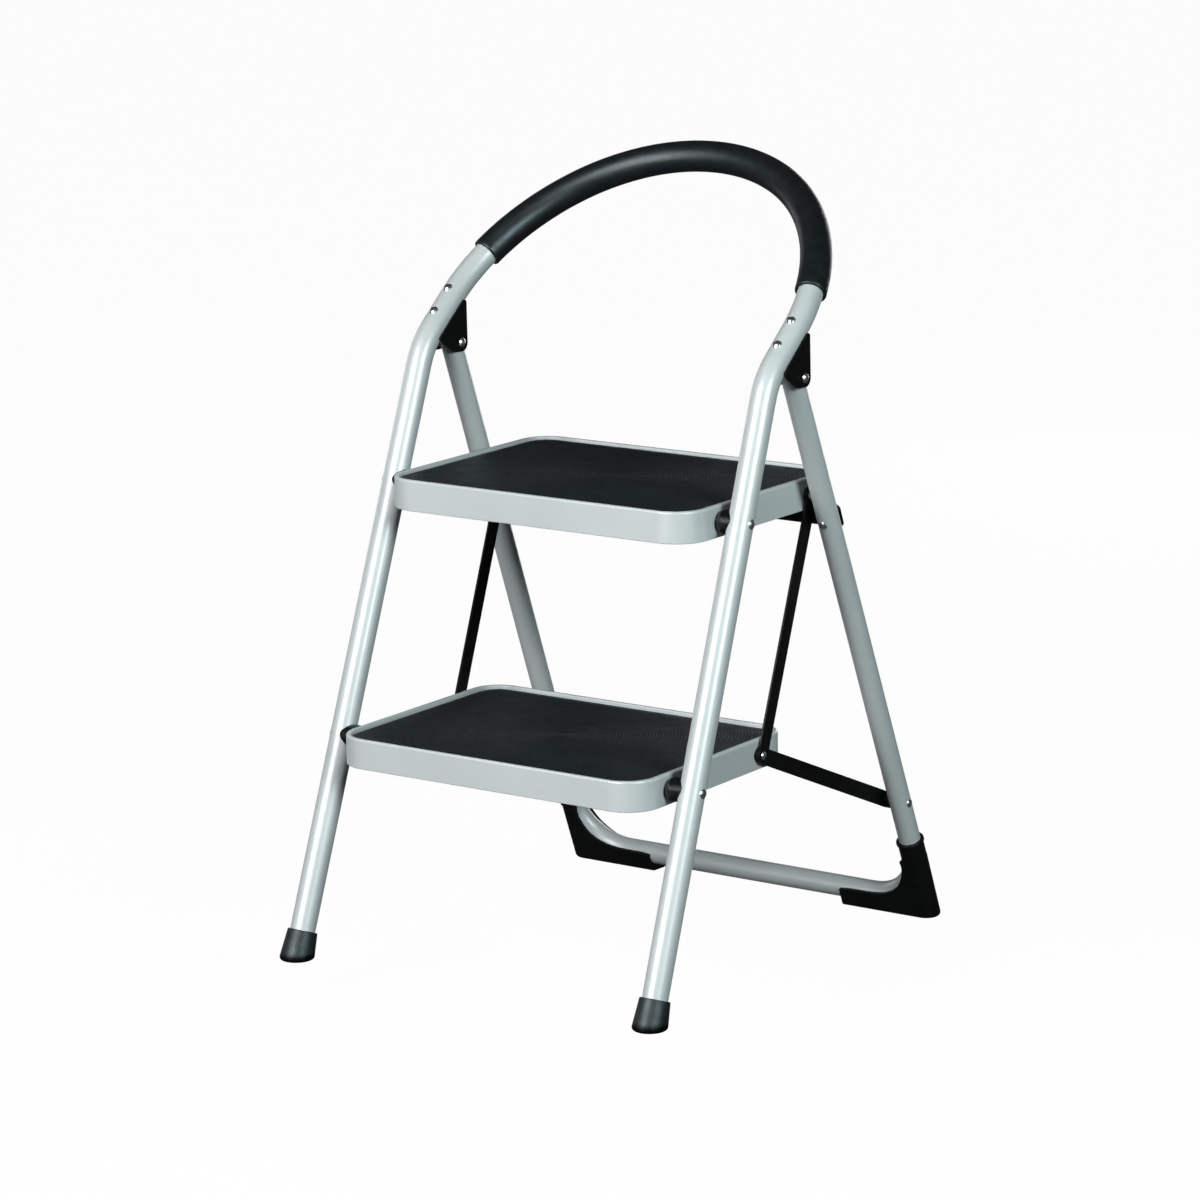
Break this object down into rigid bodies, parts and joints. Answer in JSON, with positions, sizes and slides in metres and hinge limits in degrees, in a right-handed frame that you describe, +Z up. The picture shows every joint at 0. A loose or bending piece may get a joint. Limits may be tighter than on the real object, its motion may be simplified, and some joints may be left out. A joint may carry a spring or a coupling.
{
  "type": "step stool",
  "caption": "Folding two-tread step stool: bent silver tube frame with a padded hoop handle, pressed metal trays with black non-slip mats, black feet, links and braces.",
  "frame": {"origin": "on the floor below the centre of the overall box", "axes": "+Z up, +Y from the front legs towards the rear legs, +X to the right of someone facing the treads"},
  "size_m": [0.4542, 0.5242, 0.781],
  "materials": {
    "frame_paint": "silver grey powder coat, satin",
    "tread_rubber": "black fine textured mat",
    "grip_foam": "black closed-cell foam",
    "black_moulded": "black moulded, satin",
    "black_steel": "black paint, satin",
    "rivet_steel": "zinc plated",
    "washer_nylon": "natural nylon"
  },
  "bodies": {
    "front_frame": {"front_frame_tube": "frame_paint", "handle_grip": "grip_foam", "front_foot_left": "black_moulded", "front_foot_right": "black_moulded", "hinge_bracket_left": "black_steel", "hinge_bracket_right": "black_steel", "bracket_rivets": "rivet_steel", "hinge_pins": "rivet_steel", "hinge_washers": "washer_nylon", "upper_step_spacers": "black_moulded", "upper_step_pivot_rivets": "rivet_steel", "lower_step_spacers": "black_moulded", "lower_step_pivot_rivets": "rivet_steel"},
    "rear_frame": {"rear_frame_tube": "frame_paint", "rear_foot_left": "black_moulded", "rear_foot_right": "black_moulded", "step_support_bar": "black_steel", "support_bar_rivets": "rivet_steel", "strut_spacers": "black_moulded", "strut_leg_rivets": "rivet_steel"},
    "upper_step": {"upper_step_tray": "frame_paint", "upper_step_mat": "tread_rubber", "upper_link_spacers": "black_moulded", "upper_link_rivets": "rivet_steel"},
    "lower_step": {"lower_step_tray": "frame_paint", "lower_step_mat": "tread_rubber", "lower_link_spacers": "black_moulded", "lower_link_rivets": "rivet_steel"},
    "link_left": {"side_link_left": "black_steel"},
    "link_right": {"side_link_right": "black_steel"},
    "brace_left": {"strut_left": "black_steel", "strut_end_rivet_left": "rivet_steel"},
    "brace_right": {"strut_right": "black_steel", "strut_end_rivet_right": "rivet_steel"}
  },
  "joints": [
    {"name": "rear_frame_hinge", "type": "hinge", "parent": "front_frame", "child": "rear_frame", "pos_m": [0, 0.00253, 0.5825], "axis": [-1, 0, 0], "range_deg": [0, 38.5]},
    {"name": "upper_step_hinge", "type": "hinge", "parent": "front_frame", "child": "upper_step", "pos_m": [0, -0.08799, 0.455], "axis": [1, 0, 0], "range_deg": [0, 57.02]},
    {"name": "lower_step_hinge", "type": "hinge", "parent": "front_frame", "child": "lower_step", "pos_m": [0, -0.17166, 0.2125], "axis": [1, 0, 0], "range_deg": [0, 57.02]},
    {"name": "link_left_hinge", "type": "hinge", "parent": "lower_step", "child": "link_left", "pos_m": [-0.1835, -0.01867, 0.21501], "axis": [1, 0, 0], "range_deg": [-57.02, 0]},
    {"name": "brace_left_hinge", "type": "hinge", "parent": "lower_step", "child": "brace_left", "pos_m": [-0.1859, -0.01867, 0.21501], "axis": [1, 0, 0], "range_deg": [-134.56, 0]},
    {"name": "link_right_hinge", "type": "hinge", "parent": "lower_step", "child": "link_right", "pos_m": [0.1835, -0.01867, 0.21501], "axis": [1, 0, 0], "range_deg": [-57.02, 0]},
    {"name": "brace_right_hinge", "type": "hinge", "parent": "lower_step", "child": "brace_right", "pos_m": [0.1859, -0.01867, 0.21501], "axis": [1, 0, 0], "range_deg": [-134.56, 0]}
  ],
  "couplings": [
    {"joint": "upper_step_hinge", "follows": "rear_frame_hinge", "ratio": 1.4805},
    {"joint": "lower_step_hinge", "follows": "rear_frame_hinge", "ratio": 1.4805},
    {"joint": "link_left_hinge", "follows": "rear_frame_hinge", "ratio": -1.4805},
    {"joint": "brace_left_hinge", "follows": "rear_frame_hinge", "ratio": -3.4947},
    {"joint": "link_right_hinge", "follows": "rear_frame_hinge", "ratio": -1.4805},
    {"joint": "brace_right_hinge", "follows": "rear_frame_hinge", "ratio": -3.4947}
  ]
}
